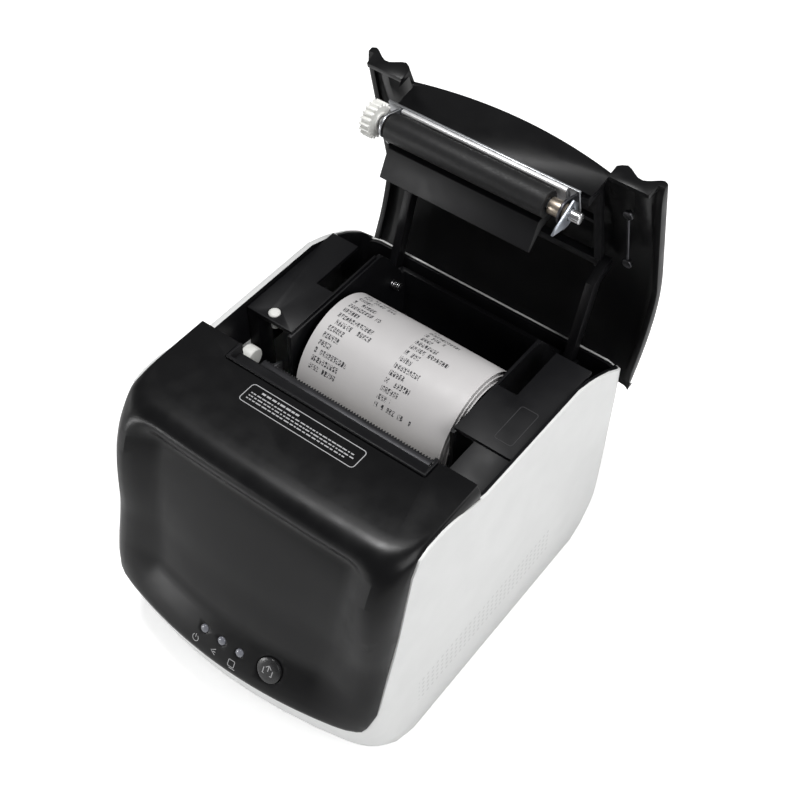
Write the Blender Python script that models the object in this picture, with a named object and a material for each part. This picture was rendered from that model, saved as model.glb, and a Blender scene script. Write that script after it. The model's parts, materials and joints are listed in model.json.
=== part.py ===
"""Clamshell receipt printer, lid open: a white shell, a black front cover and a lid that
carries the platen and the fixed knife. Lengths are in millimetres until MM turns them
into metres. X runs to the right, Y to the back and Z up; the feet stand on Z = 0."""
import math

import bmesh
import bpy
from mathutils import Matrix, Vector

MM = 0.001
GAP = 0.3                      # running gap between neighbouring pieces

# ---- driving dimensions (mm, in the body's own frame) ----
CENTRE_X = -2.5                # middle of the housing; the mechanism sits a little left of it
BODY_HALF_WIDTH = 73.5         # from there to the outer face of the white side panels
SHELL_WALL = 2.6
SHELL_BOTTOM = 1.4
SHELL_TOP = 123.0              # flat top edge of the side panels
LIP_TOP = 36.5                 # top edge of the white lip under the front cover
COVER_HALF_WIDTH = 73.1
COVER_WALL = 2.6
COVER_TOP = 132.5
COVER_BOTTOM = 37.3
COVER_REAR = -28.5             # rear edge of the front cover
FRONT_BOW = 5.5 / 50.0 ** 2    # how the front bows back per X squared, below the shoulder
SHOULDER_BOW = 0.15            # share of that bow that is left at the shoulder
DISH_DEPTH = 8.0               # hollow in the cover's front face
FOOT_HEIGHT = 1.1
FOOT_RADIUS = 7.0
ORIGIN_SHIFT_Y = 0.983         # puts the world origin under the middle of the open printer

MECH_X = -4.0                  # middle of the paper path
PAPER_WIDTH = 79.0
HINGE_Y, HINGE_Z = 77.5, 91.1
OPEN_ANGLE = math.radians(78)  # from closed to the open pose that is modelled at rest
PLATEN_Y, PLATEN_Z = -20.0, 100.9
PLATEN_RADIUS = 6.2
SHAFT_RADIUS = 2.5
BUCKET_Y, BUCKET_Z, BUCKET_RADIUS = 34.0, 82.0, 43.0
BUCKET_HALF = 42.5             # half the inner width of the paper bucket
DECK_TOP = 120.5
DECK_REACH = 70.3              # decks and their posts reach this far out, inside the shell
NUB_CENTRE = (-61.0, 2.0)      # the lid sensor's plunger, seen from above
LEDGE_TILT = math.radians(30)  # how far the ledge in the front cover looks up
LEDGE_FOOT = (-112.0, 38.5)    # the ledge's lower edge at the middle
LED_X = (-13.0, -3.2, 6.6)
LED_UP = 10.6                  # how far up the ledge the lights sit
BUTTON_X, BUTTON_UP = 21.8, 10.9
SWITCH = (43.0, 73.0, 21.0)    # the power switch's pivot
SWITCH_REST = math.radians(-8)  # it rests on its off side
SOCKET_LOW = 12.4              # underside of the sockets at the rear
SOCKET_WALL = 1.4
LID_TOP = 132.5
LID_FRONT, EAR_FRONT, LID_REAR = -21.0, -27.6, 90.5
LID_WALL = 2.4
BLADE_STROKE = 8.0
HEAD_FACE = PLATEN_Y - PLATEN_RADIUS - 0.5
HEAD_PIVOT = (HEAD_FACE - 3.25, 82.0)
KNOB_CENTRE = (-13.5, 104.5)   # axle of the cutter's hand wheel
HINGE_PIVOT = (0.0, HINGE_Y, HINGE_Z)
ARM_SPANS = {"left": (-55.2, -51.2), "right": (43.2, 47.2)}

# the paper feed's gears: the drive gear waits just clear of the closed platen's gear
GEAR_MODULE = 0.8
GEAR_X = (-57.5, -52.5)
TOOTH_ROOT, TOOTH_TIP = 0.9, 0.55   # below and above the pitch circle
PLATEN_TEETH, DRIVE_TEETH, IDLER_TEETH, PINION_TEETH = 19, 20, 19, 9
TO_DRIVE, TO_IDLER, TO_PINION = 250.0, 187.4, 239.2   # bearing of each gear from the last


def placed_from(point, distance, degrees):
    return (point[0] + distance * math.cos(math.radians(degrees)),
            point[1] + distance * math.sin(math.radians(degrees)))


DRIVE_CENTRE = placed_from((PLATEN_Y, PLATEN_Z), 17.1, TO_DRIVE)
IDLER_CENTRE = placed_from(DRIVE_CENTRE, 15.7, TO_IDLER)
PINION_CENTRE = placed_from(IDLER_CENTRE, 11.3, TO_PINION)

# white panel's edge towards the front cover, from the lip up to the lid's front corner
PANEL_EDGE = [(-99.0, 37.3), (-93.5, 46.8), (-85.5, 73.5), (-80.4, 91.0), (-75.5, 110.6),
              (-72.5, 122.0), (-68.0, 128.7), (-62.0, 130.4), (-53.0, 130.7), (-43.0, 129.0),
              (-33.0, 126.3), (-24.0, 123.5)]
# the panel's top edge under the lid, on to its top rear corner
PANEL_TOP = [(43.0, SHELL_TOP), (52.0, 120.0), (58.5, 117.2), (69.0, 111.6), (79.0, 104.6),
             (85.4, 98.3)]
# front and rear of the shell at the middle, by height
SHELL_LEVELS = [(1.4, -91.0, 66.0), (5.6, -98.5, 74.0), (14.0, -105.0, 81.0), (22.0, -108.3, 82.5),
                (30.0, -110.5, 83.2), (38.0, -111.5, 83.8), (60.0, -107.5, 84.8), (84.0, -101.0, 86.0),
                (98.3, -98.0, 86.0), (134.0, -90.0, 86.0)]
# front cover's outline at the middle, from its bottom edge up the front and over the shoulder
COVER_PROFILE = [(-112.0, 37.3), (-111.4, 44.0), (-110.2, 50.0), (-108.6, 57.0), (-106.0, 66.0),
                 (-103.0, 75.0), (-100.4, 84.0), (-97.6, 93.0), (-95.0, 101.0), (-92.4, 109.0),
                 (-89.8, 116.0), (-87.0, 121.5), (-83.6, 126.0), (-79.4, 129.6), (-74.4, 131.8),
                 (-68.0, 132.5)]
# the lid's skirt along its lower edge, front to rear, when it is closed
SKIRT_EDGE = [(EAR_FRONT, 125.4), (-24.0, 124.3), (-20.0, 123.7), (43.0, 123.7), (52.0, 120.7),
              (58.5, 117.9), (69.0, 112.3), (79.0, 105.3), (84.4, 101.6), (LID_REAR, 105.4)]


# ---- shared helpers ----
def material(name, colour, roughness, metallic=0.0):
    mat = bpy.data.materials.new(name)
    mat.use_nodes = True
    shader = mat.node_tree.nodes["Principled BSDF"]
    shader.inputs["Base Color"].default_value = (*colour, 1.0)
    shader.inputs["Roughness"].default_value = roughness
    shader.inputs["Metallic"].default_value = metallic
    return mat


def finish(name, bm, look, parent=None, pivot=(0.0, 0.0, 0.0), smooth=None):
    """Turn a bmesh in millimetres into a named object whose origin is at pivot."""
    bmesh.ops.translate(bm, verts=bm.verts, vec=-Vector(pivot))
    bmesh.ops.scale(bm, verts=bm.verts, vec=(MM, MM, MM))
    bmesh.ops.recalc_face_normals(bm, faces=bm.faces)
    mesh = bpy.data.meshes.new(name)
    bm.to_mesh(mesh)
    bm.free()
    obj = bpy.data.objects.new(name, mesh)
    bpy.context.scene.collection.objects.link(obj)
    obj.location = Vector(pivot) * MM
    obj.parent = parent
    if look:
        mesh.materials.append(material(name, *look))
    if smooth:
        mesh.shade_smooth()
        mesh.set_sharp_from_angle(angle=math.radians(smooth))
    return obj


def box_mesh(x, y, z):
    bm = bmesh.new()
    bmesh.ops.create_cube(bm, size=1.0)
    for vert in bm.verts:
        vert.co = Vector(span[0] if c < 0 else span[1] for c, span in zip(vert.co, (x, y, z)))
    return bm


def around(centre, half):
    return (centre - half, centre + half)


def prism_mesh(outline, span, axis="x"):
    """Extrude a flat outline along one axis. Its pairs are (Y, Z), (X, Z) or (X, Y)."""
    place = {"x": lambda a, b, s: (s, a, b), "y": lambda a, b, s: (a, s, b),
             "z": lambda a, b, s: (a, b, s)}[axis]
    bm = bmesh.new()
    near, far = ([bm.verts.new(place(a, b, s)) for a, b in outline] for s in span)
    bm.faces.new(near)
    bm.faces.new(list(reversed(far)))
    for i in range(len(outline)):
        j = (i + 1) % len(outline)
        bm.faces.new((near[j], near[i], far[i], far[j]))
    return bm


def loft_mesh(rings):
    bm = bmesh.new()
    rows = [[bm.verts.new(p) for p in ring] for ring in rings]
    bm.faces.new(list(reversed(rows[0])))
    bm.faces.new(rows[-1])
    for low, high in zip(rows, rows[1:]):
        for i in range(len(low)):
            j = (i + 1) % len(low)
            bm.faces.new((low[i], low[j], high[j], high[i]))
    return bm


def turned_mesh(profile, centre, axis="x", sides=24):
    """A body of revolution: profile holds (distance along the axis, radius), ends closed."""
    rings = []
    for along, radius in profile:
        ring = []
        for k in range(sides):
            a = 2 * math.pi * k / sides
            u, v = radius * math.cos(a), radius * math.sin(a)
            if axis == "x":
                ring.append((along, centre[0] + u, centre[1] + v))
            elif axis == "y":
                ring.append((centre[0] + v, along, centre[1] + u))
            else:
                ring.append((centre[0] + u, centre[1] + v, along))
        rings.append(ring)
    return loft_mesh(rings)


def arc(centre, radius, start, end, steps):
    """Points on an arc; angles in degrees, counted from the first axis to the second."""
    return [(centre[0] + radius * math.cos(math.radians(start + (end - start) * k / steps)),
             centre[1] + radius * math.sin(math.radians(start + (end - start) * k / steps)))
            for k in range(steps + 1)]


def rounded_rectangle(a, b, radius, steps=3):
    centres = [(a[1] - radius, b[1] - radius, 0), (a[0] + radius, b[1] - radius, 90),
               (a[0] + radius, b[0] + radius, 180), (a[1] - radius, b[0] + radius, 270)]
    return [p for u, v, start in centres for p in arc((u, v), radius, start, start + 90, steps)]


def boolean(obj, bm, operation="DIFFERENCE"):
    """Cut with, or add, a helper solid that is given in the same millimetres as obj."""
    tool = finish(obj.name + "_tool", bm, None)
    tool.parent = obj.parent
    tool.hide_render = True
    tool.display_type = "WIRE"
    tool.hide_set(True)
    modifier = obj.modifiers.new(operation.lower(), "BOOLEAN")
    modifier.operation = operation
    modifier.object = tool
    modifier.solver = "EXACT"
    return obj


def gear_mesh(teeth, centre, phase=0.0):
    """A spur gear on an X axis with slim straight-sided teeth; phase is in tooth pitches."""
    pitch = GEAR_MODULE * teeth / 2
    outline = []
    for k in range(teeth):
        for part, radius in ((-0.27, pitch - TOOTH_ROOT), (-0.12, pitch + TOOTH_TIP),
                             (0.12, pitch + TOOTH_TIP), (0.27, pitch - TOOTH_ROOT)):
            a = 2 * math.pi * (k + part + phase) / teeth
            outline.append((centre[0] + radius * math.cos(a), centre[1] + radius * math.sin(a)))
    return prism_mesh(outline, GEAR_X)


# ---- outer forms ----
def smooth_step(value, low, high):
    t = min(max((value - low) / (high - low), 0.0), 1.0)
    return t * t * (3 - 2 * t)


def front_bow(z):
    return FRONT_BOW * (1 - (1 - SHOULDER_BOW) * smooth_step(z, 60.0, 112.0))


def plan_ring(z, front, rear, half, front_corner=15.0, corner_depth=13.5, rear_corner=10.0,
              front_steps=8, dish=None):
    """Outline of the body at one height: bowed front, soft front corners, straight sides."""
    run = half - front_corner
    bow = front_bow(z)
    xs = [-run + 2 * run * k / front_steps for k in range(front_steps + 1)]
    points = [(x, front + bow * x * x) for x in xs]
    edge = points[-1]
    slope = 2 * bow * run
    handle = 0.55 * front_corner
    curve = [edge, (edge[0] + handle, edge[1] + handle * slope),
             (half, edge[1] + corner_depth - 0.55 * corner_depth), (half, edge[1] + corner_depth)]
    corner = []
    for k in range(1, 6):
        t = k / 5
        weights = ((1 - t) ** 3, 3 * t * (1 - t) ** 2, 3 * t * t * (1 - t), t ** 3)
        corner.append(tuple(sum(w * p[i] for w, p in zip(weights, curve)) for i in (0, 1)))
    right_rear = arc((half - rear_corner, rear - rear_corner), rear_corner, 0, 90, 3)
    left_rear = arc((-half + rear_corner, rear - rear_corner), rear_corner, 90, 180, 3)
    left_corner = [(-x, y) for x, y in reversed(corner)]
    ring = points + corner + right_rear + left_rear + left_corner
    if dish:
        ring = [(x, y + dish(x, z)) for x, y in ring]
    return [(CENTRE_X + x, y, z) for x, y in ring]


def dish_depth(x, z):
    """The hollow in the front face: wide sloping sides, a sharp brow, and a sloping ledge below."""
    rise = smooth_step(z, 55.0, 125.0)
    floor_edge = 44.0 + 6.0 * rise
    rim = 69.0 - 4.0 * rise
    side = min(max((rim - abs(x)) / (rim - floor_edge), 0.0), 1.0)
    side = 0.6 * side + 0.4 * smooth_step(side, 0.0, 1.0)
    ledge = min(max((z - COVER_BOTTOM - 1.5) / 17.0, 0.0), 1.0)
    top = 1 - smooth_step(z, 118.0, 129.2)
    return DISH_DEPTH * side * ledge * top


def refined(points, parts):
    """A smooth curve through the points, with each stretch split into equal parts."""
    curve = []
    last = len(points) - 1
    for i in range(last):
        p0, p1, p2, p3 = (Vector(points[min(max(k, 0), last)]) for k in (i - 1, i, i + 1, i + 2))
        for k in range(parts):
            t = k / parts
            bend = (2 * p0 - 5 * p1 + 4 * p2 - p3) * t * t + (3 * p1 - p0 - 3 * p2 + p3) * t ** 3
            curve.append(tuple(p1 + ((p2 - p0) * t + bend) / 2))
    return curve + [points[-1]]


def inset_profile(points, wall):
    """Offset a (Y, Z) polyline to its inner side, the side that faces the body's middle."""
    result = []
    for i, (y, z) in enumerate(points):
        before, after = points[max(i - 1, 0)], points[min(i + 1, len(points) - 1)]
        dy, dz = after[0] - before[0], after[1] - before[1]
        length = math.hypot(dy, dz)
        result.append((y + wall * dz / length, z - wall * dy / length))
    return result


def outer_shell(parent):
    outer = [plan_ring(z, front, rear, BODY_HALF_WIDTH) for z, front, rear in SHELL_LEVELS]
    inner = []
    fronts = inset_profile([(front, z) for z, front, _ in SHELL_LEVELS], SHELL_WALL)
    for (z, _, rear), (front, _) in zip(SHELL_LEVELS, fronts):
        inner.append(plan_ring(z, front, rear - SHELL_WALL, BODY_HALF_WIDTH - SHELL_WALL,
                               rear_corner=7.4))
    low = [(x, y, -6.0) for x, y, _ in inner[0]]
    high = [(x, y, 150.0) for x, y, _ in inner[-1]]
    shell = finish("outer_shell", loft_mesh(outer), ((0.80, 0.80, 0.79), 0.35), parent, smooth=35)
    boolean(shell, loft_mesh([low] + inner + [high]))
    above = ([(-125.0, LIP_TOP), (-101.0, LIP_TOP)] + PANEL_EDGE + PANEL_TOP
             + [(95.0, 98.3), (95.0, 145.0), (-125.0, 145.0)])
    boolean(shell, prism_mesh(above, (-90.0, 90.0)))
    window = rounded_rectangle((-49.5, 49.5), (12.1, 33.0), 3.0)
    boolean(shell, prism_mesh(window, (70.0, 95.0), "y"))
    return boolean(shell, box_mesh(around(CENTRE_X, 68.5), (75.0, 95.0), (98.3, 120.0)))


def base_plate(parent):
    ring = plan_ring(0, -91.0 + 4.4, 66.0 - 3.4, BODY_HALF_WIDTH - SHELL_WALL - 0.5, rear_corner=7.0)
    plan = [(x, y) for x, y, _ in ring]
    return finish("base_plate", prism_mesh(plan, (1.5, 3.5), "z"), ((0.70, 0.70, 0.69), 0.5), parent)


def cover_rings(profile, half, rear, steps):
    """The cover's outlines; profile holds a (Y, Z) point and how far the sides are drawn in there."""
    return [plan_ring(z, y, rear, half - side, rear_corner=0.5, front_steps=steps,
                      dish=lambda x, z: dish_depth(x, z)) for (y, z), side in profile]


def front_cover(parent):
    profile = refined(COVER_PROFILE, 3)
    outer = [(point, 2.0 * smooth_step(point[1], 128.0, 133.5)) for point in profile]
    outer = cover_rings(outer, COVER_HALF_WIDTH, COVER_REAR, 40)
    inner = [(point, 2.0 * smooth_step(point[1] + COVER_WALL, 128.0, 133.5))
             for point in inset_profile(COVER_PROFILE, COVER_WALL)]
    inner = cover_rings(inner, COVER_HALF_WIDTH - COVER_WALL, 0.0, 20)
    inner = [[(x, y, 20.0) for x, y, _ in inner[0]]] + inner
    cover = finish("front_cover", loft_mesh(outer), ((0.022, 0.022, 0.024), 0.38), parent, smooth=30)
    boolean(cover, loft_mesh(inner))
    edge = [(y - 0.5, z + 0.4) for y, z in PANEL_EDGE]
    behind = [(0.0, 20.0), (edge[0][0], 20.0)] + edge + [(0.0, edge[-1][1])]
    corner = [(-60.0, 20.0), (edge[0][0], 20.0)] + edge[:4] + [(-60.0, edge[3][1])]
    for side in (-1, 1):
        outside = CENTRE_X + side * 90.0
        boolean(cover, prism_mesh(behind, sorted((CENTRE_X + side * 70.2, outside))))
        boolean(cover, prism_mesh(corner, sorted((CENTRE_X + side * 60.5, outside))))
    notch = rounded_rectangle((-53.0, 51.0), (-38.5, 0.0), 1.5)
    boolean(cover, prism_mesh(notch, (115.0, 140.0), "z"))
    for x in LED_X:
        boolean(cover, ledge_cylinder(x, LED_UP, 2.3, -8.0, 8.0))
    return boolean(cover, ledge_cylinder(BUTTON_X, BUTTON_UP, 6.3, -8.0, 8.0, sides=24))


def ledge_point(x, up, out=0.0):
    """A point on the ledge: up its slope and out along its normal."""
    bow = FRONT_BOW * (x - CENTRE_X) ** 2
    y = LEDGE_FOOT[0] + bow + up * math.sin(LEDGE_TILT) - out * math.cos(LEDGE_TILT)
    z = LEDGE_FOOT[1] + up * math.cos(LEDGE_TILT) + out * math.sin(LEDGE_TILT)
    return Vector((x, y, z))


def onto_ledge(bm, x, up, out=0.0):
    """Stand a mesh that was made about the origin on the ledge, its Z along the ledge's normal."""
    normal = Vector((0.0, -math.cos(LEDGE_TILT), math.sin(LEDGE_TILT)))
    turn = Vector((0, 0, 1)).rotation_difference(normal).to_matrix().to_4x4()
    bmesh.ops.transform(bm, matrix=Matrix.Translation(ledge_point(x, up, out)) @ turn, verts=bm.verts)
    return bm


def ledge_cylinder(x, up, radius, low, high, sides=16, dome=0.0):
    """A cylinder square to the ledge, from low to high along its normal."""
    profile = [(low, radius), (high, radius)]
    if dome:
        profile = [(low, radius), (high - dome, radius), (high, radius * 0.6)]
    return onto_ledge(turned_mesh(profile, (0.0, 0.0), "z", sides), x, up)


# ---- fittings of the front cover ----
def feet(parent):
    profile = [(0, FOOT_RADIUS - 0.4), (0.4, FOOT_RADIUS), (FOOT_HEIGHT, FOOT_RADIUS)]
    for number, (side, y) in enumerate(((-1, -66), (1, -66), (-1, 50), (1, 50)), 1):
        foot = turned_mesh(profile, (CENTRE_X + side * 58, y), "z", 20)
        finish(f"foot_{number}", foot, ((0.03, 0.03, 0.03), 0.8), parent, smooth=40)


def led_lenses(parent):
    for name, x in zip(("led_power", "led_error", "led_paper"), LED_X):
        bm = ledge_cylinder(x, LED_UP, 1.95, -3.6, 0.5, dome=0.4)
        finish(name, bm, ((0.55, 0.55, 0.58), 0.3), parent, smooth=50)


def feed_button(parent):
    """The button's cap in its own body; it travels inwards along the ledge's normal."""
    pivot = ledge_point(BUTTON_X, BUTTON_UP)
    bm = ledge_cylinder(BUTTON_X, BUTTON_UP, 5.9, -3.6, 0.7, sides=24, dome=0.3)
    finish("feed_button", bm, ((0.025, 0.025, 0.027), 0.35), parent, tuple(pivot), smooth=50)


def panel_board(parent):
    bm = onto_ledge(box_mesh((-30.0, 30.0), (-8.5, 8.5), (-0.8, 0.8)), 4.0, 10.5, -7.4)
    finish("panel_board", bm, ((0.02, 0.16, 0.07), 0.5), parent)


def tear_bar(parent):
    """Black bar along the notch, with a raised rim, and its serrated steel strip."""
    bar = [(-37.9, 122.5), (-37.9, 132.8), (-37.5, 133.2), (-28.6, 133.2), (-28.6, 122.5)]
    bar = finish("exit_bar", prism_mesh(bar, (-52.4, 50.4)), ((0.03, 0.03, 0.032), 0.4), parent)
    tray = [(-36.7, 140.0), (-36.7, 129.0), (-30.0, 128.4), (-28.0, 125.8), (-28.0, 140.0)]
    boolean(bar, prism_mesh(tray, (-51.2, 49.2)))
    teeth, pitch = 63, 1.4
    left = -43.0
    outline = [(left, -28.2)]
    for k in range(teeth):
        outline += [(left + pitch * k, -25.2), (left + pitch * (k + 0.5), -24.0)]
    outline += [(left + teeth * pitch, -25.2), (left + teeth * pitch, -28.2)]
    finish("tear_strip", prism_mesh(outline, (124.6, 125.4), "z"), ((0.05, 0.05, 0.055), 0.35, 0.3), parent)


# ---- inside the body ----
def inner_frame(parent):
    """Paper bucket, its end walls and the decks beside it, on posts that reach the base."""
    left, right = MECH_X - BUCKET_HALF, MECH_X + BUCKET_HALF
    rear = BUCKET_Y + BUCKET_RADIUS
    front = BUCKET_Y - BUCKET_RADIUS
    trough = ([(front - 2, 84.0)] + arc((BUCKET_Y, BUCKET_Z), BUCKET_RADIUS + 2, 180, 360, 18)
              + [(rear + 2, 96.5)])
    hollow = ([(front, 90.0)] + arc((BUCKET_Y, BUCKET_Z), BUCKET_RADIUS, 180, 360, 18)
              + [(rear, 130.0), (front, 130.0)])
    frame = finish("paper_bucket", prism_mesh(trough, (left - 2, right + 2)),
                   ((0.018, 0.018, 0.02), 0.45), parent, smooth=30)
    ends = [(-4.3, 60.0), (rear + 2, 60.0), (rear + 2, 90.0), (66.0, 112.0), (60.0, 119.0), (-4.3, 119.0)]
    boolean(frame, prism_mesh(ends, (left - 2, right + 2)), "UNION")
    inside = (left, right)
    boolean(frame, prism_mesh(hollow, inside))
    for side, wall in ((-1, left - 2), (1, right + 2)):
        edge = CENTRE_X + side * DECK_REACH
        post = sorted((edge, edge - side * 5.8))
        boolean(frame, box_mesh(sorted((edge, wall - side)), (-2.6, 57.0), (118.5, DECK_TOP)), "UNION")
        boolean(frame, box_mesh(post, (38.0, 55.0), (3.9, 119.5)), "UNION")
        boolean(frame, box_mesh(post, (-2.6, 6.0), (3.9, 119.5)), "UNION")
        slot = (wall + side * 0.01, wall + side * 9.5)
        boolean(frame, box_mesh(sorted(slot), (27.0, 90.0), (110.0, 130.0)))
        boolean(frame, box_mesh(sorted((wall, wall + side * 9.3)), (68.0, 80.5), (75.5, 77.6)), "UNION")
    boolean(frame, box_mesh((49.5, CENTRE_X + DECK_REACH), (-27.6, -1.5), (116.9, 118.9)), "UNION")
    nub_hole = turned_mesh([(110.0, 3.2), (130.0, 3.2)], NUB_CENTRE, "z", 16)
    return boolean(frame, nub_hole)


def lid_sensor(parent):
    """White plunger that the closing lid meets."""
    bm = turned_mesh([(112.0, 2.0), (116.9, 2.0), (117.0, 2.8), (120.6, 2.8), (121.3, 1.8)],
                     NUB_CENTRE, "z", 16)
    finish("lid_sensor_plunger", bm, ((0.85, 0.85, 0.82), 0.4), parent,
           (NUB_CENTRE[0], NUB_CENTRE[1], 117.0), smooth=50)


def chassis(parent):
    """Steel mechanism frame: two cheeks with a slot for the platen shaft, and a floor."""
    cheek = [(-62.0, 58.0), (-7.0, 58.0), (-7.0, 103.5), (-13.4, 106.6), (PLATEN_Y + 3.9, 101.9)]
    cheek += arc((PLATEN_Y, PLATEN_Z), 3.9, 0, -180, 8)
    cheek += [(PLATEN_Y - 3.9, 104.0), (-26.0, 105.0), (-62.0, 105.0)]
    left = finish("chassis", prism_mesh(cheek, (-51.3, -49.9)), ((0.55, 0.55, 0.57), 0.35, 0.9), parent)
    boolean(left, prism_mesh(cheek, (44.2, 45.6)), "UNION")
    boolean(left, box_mesh((-50.5, 44.8), (-62.0, -12.0), (58.0, 59.4)), "UNION")
    boolean(left, box_mesh((-50.5, 44.8), (-62.0, -60.6), (58.5, 100.0)), "UNION")
    for x in (-46.0, 40.0):
        boolean(left, box_mesh((x - 3, x + 3), (-50.0, -42.0), (3.9, 58.7)), "UNION")
    boolean(left, turned_mesh([(-55.0, 1.35), (-40.0, 1.35)], PINION_CENTRE, "x", 16))
    for centre in (DRIVE_CENTRE, IDLER_CENTRE):
        boolean(left, turned_mesh([(-58.2, 1.0), (-50.2, 1.0)], centre, "x", 12), "UNION")
    return left


def print_head(parent):
    """Heated line and its heat sink, hung on a pin below; it yields away from the platen."""
    face = HEAD_FACE
    pivot = (0.0, *HEAD_PIVOT)
    sink = [(face - 5.2, 79.0), (face - 1.3, 79.0), (face - 1.3, 105.2), (face - 3.2, 105.2),
            (face - 3.2, 86.0), (face - 5.2, 86.0)]
    body = finish("head_heat_sink", prism_mesh(sink, (-46.5, 38.5)), ((0.6, 0.6, 0.62), 0.4, 0.9),
                  parent, pivot)
    boolean(body, turned_mesh([(-60, 1.35), (60, 1.35)], HEAD_PIVOT, "x", 16))
    finish("print_head", box_mesh((-45.0, 37.0), (face - 1.0, face), (88.0, 105.0)),
           ((0.75, 0.72, 0.62), 0.3), parent, pivot)


def head_pin(parent):
    bm = turned_mesh([(-49.6, 1.0), (43.9, 1.0)], HEAD_PIVOT, "x", 12)
    finish("head_pin", bm, ((0.6, 0.6, 0.62), 0.3, 1.0), parent, smooth=40)


def coil_spring(name, start, end, radius, wire, turns, parent, sides=5):
    """A compression spring as one swept wire between two points along Y."""
    steps = int(turns * 9)
    rings = []
    for k in range(steps + 1):
        t = k / steps
        a = 2 * math.pi * turns * t
        y = start[1] + (end[1] - start[1]) * t
        out = Vector((math.cos(a), 0.0, math.sin(a)))
        centre = Vector((start[0], y, start[2])) + out * radius
        ring = []
        for j in range(sides):
            b = 2 * math.pi * j / sides
            ring.append(centre + out * wire * math.cos(b) + Vector((0, wire * math.sin(b), 0)))
        rings.append(ring)
    finish(name, loft_mesh(rings), ((0.6, 0.6, 0.6), 0.25, 1.0), parent, smooth=60)


def head_springs(parent):
    for name, x in (("head_spring_left", -30.0), ("head_spring_right", 22.0)):
        coil_spring(name, (x, -57.5, 97.0), (x, HEAD_FACE - 6.2, 97.0), 3.0, 0.45, 4, parent)


def cutter(parent):
    """Knife motor and gearbox on the chassis, the sliding knife, and its hand wheel."""
    left = MECH_X - 41.0
    outline = [(left, -58.0), (left, -29.0), (left + 8.0, -27.5), (left + 41.0, -29.5),
               (left + 74.0, -27.5), (left + 82.0, -29.0), (left + 82.0, -58.0)]
    finish("cutter_blade", prism_mesh(outline, (107.35, 107.95), "z"), ((0.7, 0.7, 0.72), 0.25, 1.0),
           parent)
    finish("cutter_guide", box_mesh((-49.5, 43.5), (-58.0, -31.0), (108.3, 110.1)),
           ((0.03, 0.03, 0.03), 0.5), parent)
    motor = turned_mesh([(8.0, 9.0), (36.0, 9.0), (36.4, 5.0), (38.5, 5.0)], (-74.0, 94.0), "x", 24)
    motor = finish("cutter_motor", motor, ((0.6, 0.6, 0.62), 0.35, 0.8), parent, smooth=40)
    boolean(motor, box_mesh((-8.0, 9.0), (-81.0, -64.0), (84.0, 102.0)), "UNION")
    profile = [(-66.0, 2.0), (-65.9, 4.4), (-65.2, 5.0), (-60.8, 5.0), (-60.1, 4.4), (-60.0, 2.0)]
    finish("cutter_hand_wheel", turned_mesh(profile, KNOB_CENTRE, "x", 28), ((0.85, 0.85, 0.83), 0.4),
           parent, (-62.0, *KNOB_CENTRE), smooth=40)


def feed_gears(parent):
    """Motor, pinion, idler and drive gear. Each gear's tooth fills a gap of the next one."""
    drive_phase = DRIVE_TEETH * TO_IDLER / 360
    idler_phase = IDLER_TEETH * (TO_IDLER - 180) / 360 + 0.5
    at_pinion = IDLER_TEETH * TO_PINION / 360 - idler_phase
    pinion_phase = PINION_TEETH * (TO_PINION - 180) / 360 + 0.5 + at_pinion
    gears = (("feed_drive_gear", DRIVE_TEETH, DRIVE_CENTRE, drive_phase),
             ("feed_idler_gear", IDLER_TEETH, IDLER_CENTRE, idler_phase),
             ("motor_pinion", PINION_TEETH, PINION_CENTRE, pinion_phase))
    for name, teeth, centre, phase in gears:
        gear = finish(name, gear_mesh(teeth, centre, phase), ((0.85, 0.85, 0.80), 0.45), parent,
                      (GEAR_X[0], *centre))
        boolean(gear, turned_mesh([(-70, 1.3), (-40, 1.3)], centre, "x", 12))
    can = [(-49.6, 12.5), (-49.0, 13.0), (-28.0, 13.0), (-27.4, 12.5)]
    motor = finish("feed_motor", turned_mesh(can, PINION_CENTRE, "x", 28), ((0.5, 0.5, 0.52), 0.4, 0.8),
                   parent, smooth=40)
    boolean(motor, turned_mesh([(-58.2, 1.0), (-40.0, 1.0)], PINION_CENTRE, "x", 12), "UNION")


# ---- boards and sockets ----
def main_board(parent):
    finish("main_board", box_mesh((-54.0, 54.0), (-38.0, 58.5), (10.4, 12.0)), ((0.02, 0.16, 0.07), 0.5),
           parent)
    finish("buzzer", turned_mesh([(12.3, 6.0), (20.0, 6.0), (20.6, 5.4)], (-34.0, 4.0), "z", 20),
           ((0.03, 0.03, 0.03), 0.5), parent, smooth=40)


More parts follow.
